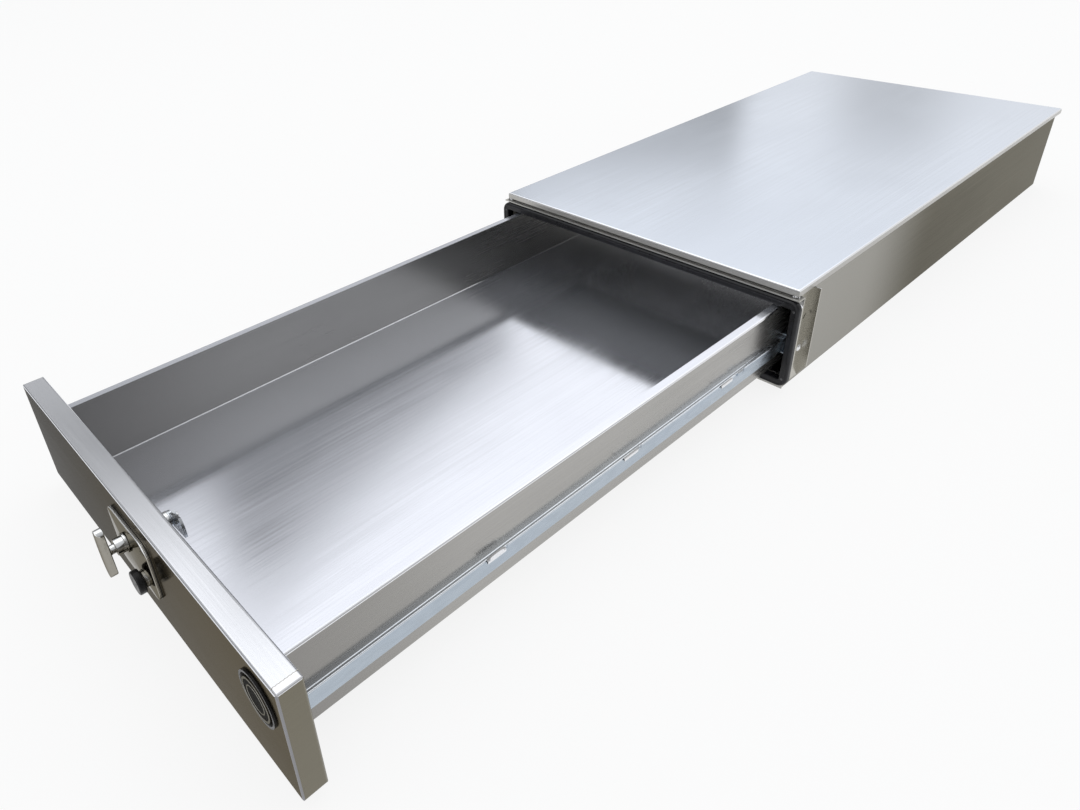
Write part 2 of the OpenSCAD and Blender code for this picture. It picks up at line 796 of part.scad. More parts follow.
// Key lock at the plate's lower right corner
key_front = plate_front - key_rim;
key_back = panel_t + key_end;
module key_frame() { drawer_frame() translate([key_x, 0, handle_z - key_drop]) children(); }
module key_barrel() {
    color([0.78, 0.78, 0.79]) key_frame() difference() {
        disc_y(key_barrel_d, key_front, key_back);
        disc_y(key_plug_d + 2 * shaft_gap, key_front - over, key_back + over);
    }
}
module key_nut() {
    color([0.72, 0.73, 0.75]) key_frame() difference() {
        hex_y(key_barrel_d * nut_share, panel_t, panel_t + key_nut_l);
        disc_y(key_barrel_d + 2 * seat_gap, panel_t - over, panel_t + key_nut_l + over);
    }
}
module key_plug() {
    color([0.80, 0.72, 0.45]) key_frame()
        disc_y(key_plug_d, key_front - face_gap, key_back + face_gap);
}
module key_knob() {
    y1 = key_front - face_gap;
    y0 = y1 - knob_stem_l - knob_l;
    color([0.04, 0.04, 0.045]) key_frame() translate([0, y1, 0]) rotate([90, 0, 0])
        rotate_extrude() {
            square([knob_stem_d / 2, knob_stem_l]);
            translate([0, knob_stem_l]) square([knob_d / 2 - knob_edge, knob_l]);
            translate([0, knob_stem_l + knob_edge]) square([knob_d / 2, knob_l - 2 * knob_edge]);
            for (y = [knob_edge, knob_l - knob_edge])
                translate([knob_d / 2 - knob_edge, knob_stem_l + y]) circle(knob_edge);
        }
}
module key_tail() {
    y0 = key_back + face_gap;
    color([0.72, 0.75, 0.79]) key_frame() run_y(y0, y0 + tail_t) union() {
        circle(tail_w / 2);
        translate([-tail_w / 2, -tail_l]) square([tail_w, tail_l]);
    }
}

housing_shell();
rear_panel();
lid();
front_frame();
seal();
seal_screws();
bracket_right();
bracket_left();
bracket_rivets();
cabinet_rail_right();
cabinet_rail_left();
rail_bumpers();
tray();
tray_front();
tray_rear();
front_panel();
panel_back();
drawer_rail_right();
drawer_rail_left();
badge_rim();
badge_disc();
lock_gasket();
lock_plate();
lock_barrel();
barrel_nut();
lock_backplate();
backplate_screws();
t_handle();
latch_cam();
cam_washer();
cam_nut();
key_barrel();
key_nut();
key_plug();
key_knob();
key_tail();
ball_cage_right();
ball_cage_left();
balls_right();
balls_left();
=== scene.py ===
"""Looks of the sleeve drawer: finishes, cast and moulded pieces, camera and studio.

Metres, in the part's own frame: +Z up, -Y towards the drawer's front, origin under the sleeve.
"""

import math

import bmesh
import bpy
from mathutils import Matrix, Vector


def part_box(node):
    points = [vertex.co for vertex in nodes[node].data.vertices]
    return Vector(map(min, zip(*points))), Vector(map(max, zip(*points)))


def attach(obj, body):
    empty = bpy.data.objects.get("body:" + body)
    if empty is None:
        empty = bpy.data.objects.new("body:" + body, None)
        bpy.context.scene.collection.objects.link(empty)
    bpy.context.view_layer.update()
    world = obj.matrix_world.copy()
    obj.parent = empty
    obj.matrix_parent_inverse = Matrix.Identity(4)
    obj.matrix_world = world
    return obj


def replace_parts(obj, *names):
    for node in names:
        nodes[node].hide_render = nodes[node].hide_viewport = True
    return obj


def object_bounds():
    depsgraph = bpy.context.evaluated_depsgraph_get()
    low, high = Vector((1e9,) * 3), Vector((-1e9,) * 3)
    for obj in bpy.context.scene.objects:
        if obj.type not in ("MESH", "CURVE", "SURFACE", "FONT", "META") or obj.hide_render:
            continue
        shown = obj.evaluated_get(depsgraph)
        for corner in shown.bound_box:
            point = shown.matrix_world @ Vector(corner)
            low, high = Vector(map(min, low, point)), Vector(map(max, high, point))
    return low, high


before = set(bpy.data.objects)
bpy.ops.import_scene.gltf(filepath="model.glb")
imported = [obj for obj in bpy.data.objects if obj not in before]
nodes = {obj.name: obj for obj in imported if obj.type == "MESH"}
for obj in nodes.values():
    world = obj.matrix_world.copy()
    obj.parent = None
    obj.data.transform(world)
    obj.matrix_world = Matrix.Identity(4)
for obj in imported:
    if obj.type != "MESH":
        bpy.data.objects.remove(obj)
cad_low, cad_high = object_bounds()
scene = bpy.context.scene
MM = 0.001


# Camera
IMAGE_WIDTH, IMAGE_HEIGHT = 1080, 810
FOCAL_PIXELS = 809.9
CENTRE_PIXEL = (463.5, 331.0)
CAMERA_AZIMUTH, CAMERA_ELEVATION, CAMERA_ROLL = 49.33, 30.97, -3.40
CAMERA_PLACE = Vector((0.6967, -1.5050, 0.7043))
SENSOR_WIDTH = 36.0


def make_camera():
    """Camera at the photograph's place, turned by azimuth, elevation and roll."""
    azimuth, elevation, roll = map(math.radians, (CAMERA_AZIMUTH, CAMERA_ELEVATION, CAMERA_ROLL))
    back = Vector((math.sin(azimuth) * math.cos(elevation),
                   -math.cos(azimuth) * math.cos(elevation), math.sin(elevation)))
    right = Vector((0, 0, 1)).cross(back).normalized()
    up = back.cross(right)
    turned_right = math.cos(roll) * right + math.sin(roll) * up
    turned_up = math.cos(roll) * up - math.sin(roll) * right
    data = bpy.data.cameras.new("camera")
    data.sensor_width = SENSOR_WIDTH
    data.lens = FOCAL_PIXELS / IMAGE_WIDTH * SENSOR_WIDTH
    data.shift_x = (IMAGE_WIDTH / 2 - CENTRE_PIXEL[0]) / IMAGE_WIDTH
    data.shift_y = (CENTRE_PIXEL[1] - IMAGE_HEIGHT / 2) / IMAGE_WIDTH
    data.clip_start, data.clip_end = 0.01, 60
    camera = bpy.data.objects.new("camera", data)
    camera.matrix_world = Matrix.Translation(CAMERA_PLACE) @ Matrix(
        (turned_right, turned_up, back)).transposed().to_4x4()
    scene.collection.objects.link(camera)
    scene.camera = camera


# Materials
class Graph:
    """Short ways to add shader nodes to a tree."""

    def __init__(self, tree):
        self.tree = tree

    def add(self, kind, **values):
        node = self.tree.nodes.new(kind)
        for key, value in values.items():
            setattr(node, key, value)
        return node

    def link(self, source, target):
        self.tree.links.new(source, target)

    def spread(self, value, low, high, out_low, out_high):
        """Maps low..high of a value to out_low..out_high, smoothly and clamped."""
        node = self.add("ShaderNodeMapRange", interpolation_type="SMOOTHSTEP")
        for key, number in (("From Min", low), ("From Max", high),
                            ("To Min", out_low), ("To Max", out_high)):
            node.inputs[key].default_value = number
        self.link(value, node.inputs["Value"])
        return node.outputs["Result"]

    def math(self, operation, a, b=0.0):
        node = self.add("ShaderNodeMath", operation=operation)
        for socket, value in zip(node.inputs, (a, b)):
            if isinstance(value, (int, float)):
                socket.default_value = value
            else:
                self.link(value, socket)
        return node.outputs["Value"]


class Finish(Graph):
    """A principled material and the few texture nodes that its detail is made from."""

    def __init__(self, name, base, roughness, metallic=0.0):
        self.material = bpy.data.materials.new(name)
        self.material.use_nodes = True
        super().__init__(self.material.node_tree)
        self.shader = self.tree.nodes["Principled BSDF"]
        self.base = base
        self.roughness = roughness
        self.shader.inputs["Base Color"].default_value = (*base, 1)
        self.shader.inputs["Roughness"].default_value = roughness
        self.shader.inputs["Metallic"].default_value = metallic
        self.place = self.add("ShaderNodeTexCoord").outputs["Object"]
        self.height = None

    def noise(self, scale, detail=2.0, rough=0.5, distortion=0.0):
        """Noise whose features per metre are given for each axis."""
        mapping = self.add("ShaderNodeMapping")
        mapping.inputs["Scale"].default_value = scale if hasattr(scale, "__len__") else (scale,) * 3
        self.link(self.place, mapping.inputs["Vector"])
        noise = self.add("ShaderNodeTexNoise")
        noise.inputs["Scale"].default_value = 1.0
        noise.inputs["Detail"].default_value = detail
        noise.inputs["Roughness"].default_value = rough
        noise.inputs["Distortion"].default_value = distortion
        self.link(mapping.outputs["Vector"], noise.inputs["Vector"])
        return noise.outputs["Fac"]

    def tint(self, factor, other):
        """Blends the base colour towards another by a texture's value."""
        mix = self.add("ShaderNodeMix", data_type="RGBA")
        mix.inputs["A"].default_value = (*self.base, 1)
        socket = self.shader.inputs["Base Color"]
        if socket.is_linked:
            self.link(socket.links[0].from_socket, mix.inputs["A"])
        mix.inputs["B"].default_value = (*other, 1)
        self.link(factor, mix.inputs["Factor"])
        self.link(mix.outputs["Result"], socket)

    def along(self, axis, low, high):
        """0..1 over a stretch of the part's own X, Y or Z, in millimetres."""
        split = self.add("ShaderNodeSeparateXYZ")
        self.link(self.place, split.inputs["Vector"])
        return self.spread(split.outputs[axis], low * MM, high * MM, 0.0, 1.0)

    def edge_tint(self, colour):
        """Lets glancing reflections keep only a share of their strength."""
        self.shader.inputs["Specular Tint"].default_value = (*colour, 1)

    def edge_ramp(self, place, first, second):
        """Lets that share change from one place on the part to another."""
        mix = self.add("ShaderNodeMix", data_type="RGBA")
        mix.inputs["A"].default_value = (*first, 1)
        mix.inputs["B"].default_value = (*second, 1)
        self.link(place, mix.inputs["Factor"])
        self.link(mix.outputs["Result"], self.shader.inputs["Specular Tint"])

    def facing_up(self, low, high):
        """0..1 as the surface turns from level to upwards."""
        split = self.add("ShaderNodeSeparateXYZ")
        self.link(self.add("ShaderNodeTexCoord").outputs["Normal"], split.inputs["Vector"])
        return self.spread(split.outputs["Z"], low, high, 0.0, 1.0)

    def vary_roughness(self, value):
        self.link(value, self.shader.inputs["Roughness"])

    def bump(self, height, distance, strength=1.0):
        """Adds a height in metres, on top of the bumps given before."""
        node = self.add("ShaderNodeBump")
        node.inputs["Strength"].default_value = strength
        node.inputs["Distance"].default_value = distance
        self.link(height, node.inputs["Height"])
        socket = self.shader.inputs["Normal"]
        if socket.is_linked:
            self.link(socket.links[0].from_socket, node.inputs["Normal"])
        self.link(node.outputs["Normal"], socket)


def shade(colour, factor):
    return tuple(min(1.0, c * factor) for c in colour)


def grain_scale(axis, along, across):
    """Features per metre for grain that runs along one axis."""
    return tuple(along if i == axis else across for i in range(3))


def brushed_steel(name, base, roughness, axis, cloud=0.08, glance=(1, 1, 1), metallic=1.0,
                  grain=1.0):
    """Rolled stainless sheet: hairlines along one axis, clouded polish, wipe marks and scratches."""
    finish = Finish(name, base, roughness, metallic)
    finish.edge_tint(glance)
    hairline = finish.noise(grain_scale(axis, 9, 2600), 2.0, 0.6)
    streak = finish.noise(grain_scale(axis, 3.5, 420), 3.0, 0.7)
    clouds = finish.noise(grain_scale(axis, 3.0, 5.5), 3.0, 0.5, 0.3)
    scratch = finish.noise(grain_scale(axis, 30, 1100), 1.0, 0.4, 1.0)
    finish.tint(finish.spread(streak, 0.32, 0.72, 0.0, 0.6), shade(base, 1 - cloud))
    finish.tint(finish.spread(clouds, 0.3, 0.72, 0.0, 0.6), shade(base, 1 - cloud))
    finish.tint(finish.spread(scratch, 0.72, 0.80, 0.0, 0.5), shade(base, 1.15))
    wiped = finish.spread(clouds, 0.3, 0.75, -0.03, 0.04)
    lined = finish.spread(streak, 0.3, 0.7, -0.02, 0.03)
    finish.vary_roughness(finish.math("ADD", finish.math("ADD", wiped, lined), roughness))
    finish.bump(hairline, 0.000012 * grain)
    finish.bump(streak, 0.000004 * grain)
    finish.bump(clouds, 0.0006, 0.25)
    return finish


def zinc_plate(name, base, roughness, axis=1):
    """Zinc-plated rolled steel: a bluish, slightly mottled sheen with drawing lines."""
    finish = Finish(name, base, roughness, metallic=1.0)
    mottle = finish.noise(grain_scale(axis, 40, 160), 3.0, 0.6, 0.6)
    bloom = finish.noise(grain_scale(axis, 8, 30), 2.0, 0.5)
    lines = finish.noise(grain_scale(axis, 6, 1500), 2.0, 0.5)
    finish.tint(finish.spread(mottle, 0.35, 0.7, 0.0, 0.45), shade(base, 0.90))
    finish.tint(finish.spread(bloom, 0.4, 0.75, 0.0, 0.4), (base[0] * 0.93, base[1] * 0.95, base[2]))
    finish.vary_roughness(finish.spread(mottle, 0.3, 0.7, roughness - 0.06, roughness + 0.08))
    finish.bump(lines, 0.000012)
    finish.bump(mottle, 0.00001)
    return finish.material


def polished_chrome(name, base, roughness):
    """Chrome plate on a casting: mirror-like, with faint ripple, haze and wiped smears, and painted light:
    lighter where it looks up, darker where it looks down.
    """
    finish = Finish(name, base, roughness, metallic=1.0)
    finish.edge_tint((0.36, 0.345, 0.31))
    ripple = finish.noise(70, 2.0, 0.5)
    smear = finish.noise(220, 3.0, 0.6, 0.8)
    finish.tint(finish.spread(smear, 0.45, 0.75, 0.0, 0.4), shade(base, 0.86))
    # Painted light: a painted highlight on faces that look up, painted shade on faces that look down.
    finish.tint(finish.facing_up(0.10, 0.55), (0.84, 0.86, 0.88))
    finish.tint(finish.facing_up(-0.10, -0.60), (0.16, 0.15, 0.13))
    finish.vary_roughness(finish.spread(smear, 0.35, 0.75, roughness, roughness + 0.13))
    finish.bump(ripple, 0.00012, 0.5)
    return finish.material


def black_rubber(name, base, roughness):
    """Moulded rubber: faint orange skin, dusty bloom on it and lighter rubbed patches."""
    finish = Finish(name, base, roughness)
    finish.shader.inputs["Specular IOR Level"].default_value = 0.28
    skin = finish.noise(1400, 2.0, 0.6)
    dust = finish.noise(45, 4.0, 0.62, 0.5)
    fine = finish.noise(600, 3.0, 0.6)
    finish.tint(finish.spread(dust, 0.42, 0.78, 0.0, 0.55), (0.030, 0.032, 0.038))
    finish.tint(finish.spread(fine, 0.62, 0.8, 0.0, 0.35), (0.06, 0.06, 0.06))
    finish.vary_roughness(finish.spread(dust, 0.3, 0.75, roughness - 0.06, roughness + 0.2))
    finish.bump(skin, 0.00004)
    finish.bump(dust, 0.0002, 0.4)
    return finish.material


def black_plastic(name, base, roughness):
    """Moulded plastic with a fine skin and scuffed edges."""
    finish = Finish(name, base, roughness)
    finish.shader.inputs["Specular IOR Level"].default_value = 0.3
    scuff = finish.noise(180, 4.0, 0.65, 0.4)
    skin = finish.noise(2200, 2.0, 0.5)
    finish.tint(finish.spread(scuff, 0.52, 0.8, 0.0, 0.4), (0.05, 0.05, 0.055))
    finish.vary_roughness(finish.spread(scuff, 0.35, 0.75, roughness, roughness + 0.22))
    finish.bump(skin, 0.00002)
    return finish.material


def turned_metal(name, base, roughness, glance=(1, 1, 1)):
    """Machined metal with fine mottling, for balls, brass and small fasteners."""
    finish = Finish(name, base, roughness, metallic=1.0)
    finish.edge_tint(glance)
    mottle = finish.noise(500, 3.0, 0.6, 0.3)
    finish.tint(finish.spread(mottle, 0.4, 0.75, 0.0, 0.5), shade(base, 0.78))
    finish.vary_roughness(finish.spread(mottle, 0.3, 0.7, roughness - 0.05, roughness + 0.08))
    finish.bump(mottle, 0.00003, 0.4)
    return finish.material


ALONG_X, ALONG_Y = 0, 1

# Painted light: one stainless steel is split into lighter and darker copies by facing, bright and bluish on
# faces that look up (painted highlight and sky reflection), dark and warm on faces that look sideways
# (painted shade).
# The lengths in millimetres say where, along the part, a sheet's reflection changes in the photograph
lid_top = brushed_steel("lid_top_steel", (0.77, 0.83, 0.935), 0.14, ALONG_Y, grain=0.6).material
lip_steel = brushed_steel("lip_steel", (0.50, 0.49, 0.465), 0.30, ALONG_X, metallic=0.55).material
top_finish = brushed_steel("panel_top_steel", (0.80, 0.82, 0.87), 0.17, ALONG_X, cloud=0.05)
top_finish.tint(top_finish.along("X", 291.2, 292.0), (0.85, 0.86, 0.90))
panel_top = top_finish.material
face_finish = brushed_steel("panel_face_steel", (0.33, 0.31, 0.27), 0.14, ALONG_X, cloud=0.2)
# Painted reflection: the panel face's glancing reflection is weaker at the left end and stronger at the right
# end.
face_finish.edge_ramp(face_finish.along("X", -300, 300), (0.09, 0.085, 0.075), (0.275, 0.255, 0.22))
panel_face = face_finish.material
corner_steel = brushed_steel("corner_steel", (0.27, 0.27, 0.285), 0.26, ALONG_X).material
panel_end = brushed_steel("panel_end_steel", (0.185, 0.170, 0.131), 0.20, ALONG_Y).material
side_finish = brushed_steel("side_steel", (0.23, 0.22, 0.20), 0.18, ALONG_Y, cloud=0.38,
                            glance=(0.5, 0.49, 0.45))
# Painted reflection: the sides are lighter towards the front and darker towards the rear.
side_finish.tint(side_finish.along("Y", -60, -330), (0.47, 0.465, 0.45))
side_finish.tint(side_finish.along("Y", 100, 520), (0.18, 0.17, 0.15))
side_steel = side_finish.material
bracket_steel = brushed_steel("bracket_steel", (0.50, 0.485, 0.44), 0.24, ALONG_Y).material
tray_floor = brushed_steel("tray_floor_steel", (0.78, 0.805, 0.88), 0.14, ALONG_Y, metallic=0.87,
                           grain=0.35).material
wall_finish = brushed_steel("tray_wall_steel", (0.42, 0.412, 0.395), 0.24, ALONG_Y, cloud=0.14,
                            metallic=0.9)
# Painted reflection: the tray walls darken towards the drawer's front.
wall_finish.tint(wall_finish.along("Y", -1090, -1390), (0.27, 0.262, 0.25))
tray_wall = wall_finish.material
# Painted highlight: the sheets' bends and the brackets' tops take this bright steel.
painted_highlight_steel = brushed_steel("painted_highlight_steel", (0.86, 0.87, 0.90), 0.16, ALONG_Y).material
zinc = zinc_plate("zinc_steel", (0.45, 0.51, 0.575), 0.28)
# Painted light: the drawer rails' tops and bends take this brighter zinc; the small zinc parts use it as
# their own plating.
bright_zinc_and_lit_rail_tops = zinc_plate("bright_zinc_and_lit_rail_tops", (0.74, 0.78, 0.83), 0.24)
chrome = polished_chrome("polished_chrome", (0.33, 0.315, 0.28), 0.05)
rubber = black_rubber("black_rubber", (0.008, 0.008, 0.010), 0.28)
plastic = black_plastic("black_plastic", (0.006, 0.006, 0.007), 0.30)
# Painted highlight: the slide catch tabs take this bright weld steel too.
weld_and_catch_highlight_steel = turned_metal("weld_and_catch_highlight_steel", (0.86, 0.87, 0.90), 0.20)
dark_screw = turned_metal("dark_screw", (0.10, 0.10, 0.105), 0.30)
brass = turned_metal("brass", (0.72, 0.56, 0.28), 0.28)
badge_metal = turned_metal("badge_metal", (0.36, 0.35, 0.32), 0.26, glance=(0.3, 0.29, 0.26))
badge_dark = turned_metal("badge_dark", (0.09, 0.085, 0.075), 0.28, glance=(0.2, 0.2, 0.2))
ball_steel = turned_metal("ball_steel", (0.80, 0.81, 0.83), 0.14)

# Share of a face's normal from which it counts as facing up, bent, sideways or round a corner
UP_SHARE = 0.92
BEND_SHARE = 0.2
SIDE_SHARE = 0.7
CORNER_SHARE = 0.3
FACE, TOP, BEND, END, CORNER = range(5)
SHARP_ANGLE = math.radians(32)
BEVEL_ANGLE = math.radians(40)


def paint(obj, side, top=None, bend=None, end=None, corner=None):
    """Gives a piece its material, and others to faces that look up, bend, end it or turn a corner; on the
    sheets the top, bend and end materials are lighter or darker copies of one steel: painted light and shade.
    """
    data = obj.data
    data.materials.clear()
    for material in (side, top, bend, end, corner):
        data.materials.append(material or side)
    for polygon in data.polygons:
        normal = polygon.normal
        if corner and normal.y < -CORNER_SHARE and abs(normal.x) > CORNER_SHARE:
            polygon.material_index = CORNER
        elif normal.z > UP_SHARE:
            polygon.material_index = TOP
        elif normal.z > BEND_SHARE:
            polygon.material_index = BEND
        elif abs(normal.x) > SIDE_SHARE:
            polygon.material_index = END
        else:
            polygon.material_index = FACE


def soften(obj, width=0.0003):
    """Smooth bends and a small broken edge on a piece of the frame."""
    for polygon in obj.data.polygons:
        polygon.use_smooth = True
    obj.data.set_sharp_from_angle(angle=SHARP_ANGLE)
    bevel = obj.modifiers.new("broken_edge", "BEVEL")
    bevel.width = width
    bevel.segments = 2
    bevel.limit_method = "ANGLE"
    bevel.angle_limit = BEVEL_ANGLE
    bevel.harden_normals = True


def paint_nodes():
    # Each sheet's materials for its sides, tops, bends, ends and corners; the lighter tops and bends and the
    # darker panel ends paint light and shade.
    sheets = {
        "lid": (lip_steel, lid_top, painted_highlight_steel, lip_steel),
        "housing_shell": (side_steel, lid_top, side_steel, side_steel),
        "front_frame": (lip_steel, lip_steel, painted_highlight_steel, bracket_steel),
        "bracket_right": (bracket_steel, painted_highlight_steel, bracket_steel, bracket_steel),
        "bracket_left": (bracket_steel, painted_highlight_steel, bracket_steel, bracket_steel),
        "front_panel": (panel_face, panel_top, panel_top, panel_end, corner_steel),
        "tray": (tray_wall, tray_floor, painted_highlight_steel, tray_wall),
        "tray_front": (tray_wall, tray_floor, painted_highlight_steel, tray_wall),
        "tray_rear": (tray_wall, tray_floor, painted_highlight_steel, tray_wall),
        "rear_panel": (side_steel, lid_top, side_steel, side_steel),
        "panel_back": (tray_wall, panel_top, panel_top, tray_wall),
        "drawer_rail_right": (zinc, bright_zinc_and_lit_rail_tops, bright_zinc_and_lit_rail_tops, zinc),
        "drawer_rail_left": (zinc, bright_zinc_and_lit_rail_tops, bright_zinc_and_lit_rail_tops, zinc),
    }
    plain = {
        zinc: ["cabinet_rail_right", "cabinet_rail_left", "lock_backplate", "backplate_screws"],
        bright_zinc_and_lit_rail_tops: ["latch_cam", "ball_cage_right", "ball_cage_left", "cam_washer", "cam_nut",
                      "barrel_nut", "key_nut", "key_tail"],
        chrome: ["lock_plate", "lock_barrel", "t_handle", "key_barrel"],
        rubber: ["seal", "lock_gasket", "rail_bumpers"],
        plastic: ["key_knob", "badge_rim"],
        brass: ["key_plug"],
        badge_dark: ["badge_disc"],
        dark_screw: ["seal_screws"],
        ball_steel: ["balls_right", "balls_left", "bracket_rivets"],
    }
    for name, materials in sheets.items():
        paint(nodes[name], *materials)
        soften(nodes[name])
    for material, names in plain.items():
        for name in names:
            paint(nodes[name], material)
            soften(nodes[name])


# Cast and moulded pieces, made soft-edged from the solids they stand for
def mesh_piece(name, mesh, material):
    obj = bpy.data.objects.new(name, mesh)
    scene.collection.objects.link(obj)
    paint(obj, material)
    for polygon in mesh.polygons:
        polygon.use_smooth = True
    return obj


def cast_from(node, name, voxel, rounds, material, body):
    """A casting with soft edges and fillets, remeshed from a node's solid and smoothed."""
    source = bpy.data.objects.new(name + "_source", nodes[node].data.copy())
    scene.collection.objects.link(source)
    remesh = source.modifiers.new("remesh", "REMESH")
    remesh.mode = "VOXEL"
    remesh.voxel_size = voxel
    smooth = source.modifiers.new("smooth", "SMOOTH")
    smooth.factor = 0.5
    smooth.iterations = rounds
    evaluated = source.evaluated_get(bpy.context.evaluated_depsgraph_get())
    mesh = bpy.data.meshes.new_from_object(evaluated)
    bpy.data.objects.remove(source)
    piece = mesh_piece(name, mesh, material)
    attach(piece, body)
    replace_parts(piece, node)
    return piece


def make_castings():
    for node, voxel, rounds, material, slot, body in (
            ("t_handle", 0.5, 4, chrome, "polished_chrome", "handle"),
            ("lock_plate", 0.7, 4, chrome, "polished_chrome", "drawer"),
            ("key_knob", 0.5, 5, plastic, "black_plastic", "key")):
        piece = cast_from(node, "cast_" + node, voxel * MM, rounds, material, body)


CORNER_STEPS = 10


def soft_loop(low, high, radius, inset, y):
    """Round-cornered rectangle facing along Y, with equally many points for any inset."""
    turn = max(radius - inset, 0.4 * MM)
    points = []
    for quarter, (side_x, side_z) in enumerate(((1, 1), (-1, 1), (-1, -1), (1, -1))):
        x = (high.x if side_x > 0 else low.x) - side_x * (inset + turn)
        z = (high.z if side_z > 0 else low.z) - side_z * (inset + turn)
        for step in range(CORNER_STEPS + 1):
            angle = math.radians(90) * (quarter + step / CORNER_STEPS)
            points.append((x + turn * math.cos(angle), y, z + turn * math.sin(angle)))
    return points


def loft(name, rings, material, body):
    """Closed skin over rings of equally many points, from each to the next and back to the first."""
    count = len(rings[0])
    faces = []
    for i in range(len(rings)):
        first, second = i * count, (i + 1) % len(rings) * count
        for j in range(count):
            k = (j + 1) % count
            faces.append((first + j, first + k, second + k, second + j))
    mesh = bpy.data.meshes.new(name)
    mesh.from_pydata([point for ring in rings for point in ring], [], faces)
    shell = bmesh.new()
    shell.from_mesh(mesh)
    bmesh.ops.recalc_face_normals(shell, faces=shell.faces)
    shell.to_mesh(mesh)
    shell.free()
    piece = mesh_piece(name, mesh, material)
    mesh.set_sharp_from_angle(angle=SHARP_ANGLE)
    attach(piece, body)
    return piece


# Section of the seal from its outer rim to its inner edge: inset and depth behind its front
SEAL_SECTION = ((0.0, 10.0), (0.0, 4.6), (0.3, 3.1), (0.9, 1.8), (1.8, 0.8), (2.8, 0.2), (3.6, 0.1),
                (4.1, 0.4), (4.4, 0.9), (4.9, 1.1), (8.0, 1.0), (10.8, 1.1), (11.5, 1.5), (11.9, 2.2),
                (12.0, 3.2), (12.0, 13.5), (3.0, 13.5), (3.0, 10.0))
SEAL_RADIUS = 14.0


def make_seal():
    low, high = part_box("seal")
    rings = [soft_loop(low, high, SEAL_RADIUS * MM, inset * MM, low.y + depth * MM)
             for inset, depth in SEAL_SECTION]
    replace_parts(loft("moulded_seal", rings, rubber, "sleeve"), "seal")


# Inset from the gasket's outline, and height above the panel
GASKET_SECTION = ((0.5, 0.0), (0.5, 0.45), (12.0, 0.45), (12.0, 0.0))
SKIRT_SECTION = ((0.85, 0.45), (0.85, 1.5), (1.3, 2.0), (4.0, 2.0), (4.0, 0.45))
GASKET_RADIUS = 16.8


def make_gasket():
    """Thin gasket that shows as a dark line, and the lock plate's rim that comes down to it."""
    low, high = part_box("lock_gasket")
    gasket, skirt = ([soft_loop(low, high, GASKET_RADIUS * MM, inset * MM, high.y - height * MM)
                      for inset, height in section] for section in (GASKET_SECTION, SKIRT_SECTION))
    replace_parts(loft("cut_gasket", gasket, rubber, "drawer"), "lock_gasket")
    loft("plate_skirt", skirt, chrome, "drawer")


TURN_STEPS = 96


def turned(name, centre, section, material, body):
    """Ring turned about an axis along Y, from a section of radius and height before the centre."""
    rings = []
    for radius, height in section:
        rings.append([(centre.x + radius * MM * math.cos(turn), centre.y - height * MM,
                       centre.z + radius * MM * math.sin(turn))
                      for turn in (2 * math.pi * step / TURN_STEPS for step in range(TURN_STEPS))])
    loft(name, rings, material, body)


# Name, radius, half width and height of each ring
BADGE_RINGS = (("badge_outer_ring", 20.6, 1.1, 0.35), ("badge_inner_ring", 13.5, 0.7, 0.3))


def make_badge_relief():
    """Raised rings on the plain badge."""
    low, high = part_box("badge_disc")
    centre = Vector(((low.x + high.x) / 2, low.y, (low.z + high.z) / 2))
    for name, radius, width, height in BADGE_RINGS:
        section = [(radius + width * math.cos(turn), height * math.sin(turn) - 0.05)
                   for turn in (math.pi * step / 8 for step in range(9))]
        turned(name, centre, section, badge_metal, "drawer")


def lump(name, spots, material, body):
    """Weld metal: overlapping, unevenly flattened drops."""
    drops = bmesh.new()
    for place, size, squash in spots:
        made = bmesh.ops.create_icosphere(drops, subdivisions=3, radius=size * MM)
        for vertex in made["verts"]:
            direction = vertex.co.normalized()
            wobble = (1 + 0.12 * math.sin(5 * direction.x + 40 * size)
                      + 0.10 * math.sin(7 * direction.y - 3 * direction.z))
            vertex.co = Vector(place) * MM + Vector((vertex.co.x * squash[0], vertex.co.y * squash[1],
                                                     vertex.co.z * squash[2])) * wobble
    mesh = bpy.data.meshes.new(name)
    drops.to_mesh(mesh)
    drops.free()
    piece = mesh_piece(name, mesh, material)
    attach(piece, body)


WELD_FROM_SIDE = 4.5
# Place outwards and back from the lid's corner and height, then radius and stretch of each drop
WELD_DROPS = (((0, 1.5, 157.0), 2.6, (1.1, 0.8, 0.9)),
              ((2, 3.5, 155.6), 2.4, (0.9, 1.2, 0.8)),
              ((-3, 1.0, 156.0), 1.8, (1.3, 0.8, 0.7)))


def make_welds():
    """Polished weld at the corners between lid, ledge and front plate."""
    lid_low, lid_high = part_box("lid")
    for side, name in ((1, "weld_right"), (-1, "weld_left")):
        x = side * (lid_high.x / MM - WELD_FROM_SIDE)
        y = lid_low.y / MM
        spots = [((x + side * out, y + back, z), size, squash) for (out, back, z), size, squash in WELD_DROPS]
        lump(name, spots, weld_and_catch_highlight_steel, "sleeve")


LEDGE_ABOVE_SEAL = 3.0
TRIM_STEPS = 60


def make_header_trim():
    """Folded return under the lid's front lip, down to the ledge over the seal."""
    lid_low, lid_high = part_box("lid")
    y, low, high = lid_low.y / MM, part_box("seal")[1].z / MM + LEDGE_ABOVE_SEAL, lid_low.z / MM
    section = ((y - 1.6, low - 0.1), (y - 1.6, low + 0.7), (y - 0.2, low + 0.8), (y + 0.1, low + 1.4),
               (y + 0.1, high + 0.6), (y + 1.2, high + 0.6), (y + 1.2, low - 0.1))
    end = lid_high.x / MM - 0.8
    rings = []
    for step in range(TRIM_STEPS + 1):
        x = (-end + 2 * end * step / TRIM_STEPS) * MM
        rings.append([(x, y * MM, z * MM) for y, z in section])
    loft("header_trim", rings, lip_steel, "sleeve")


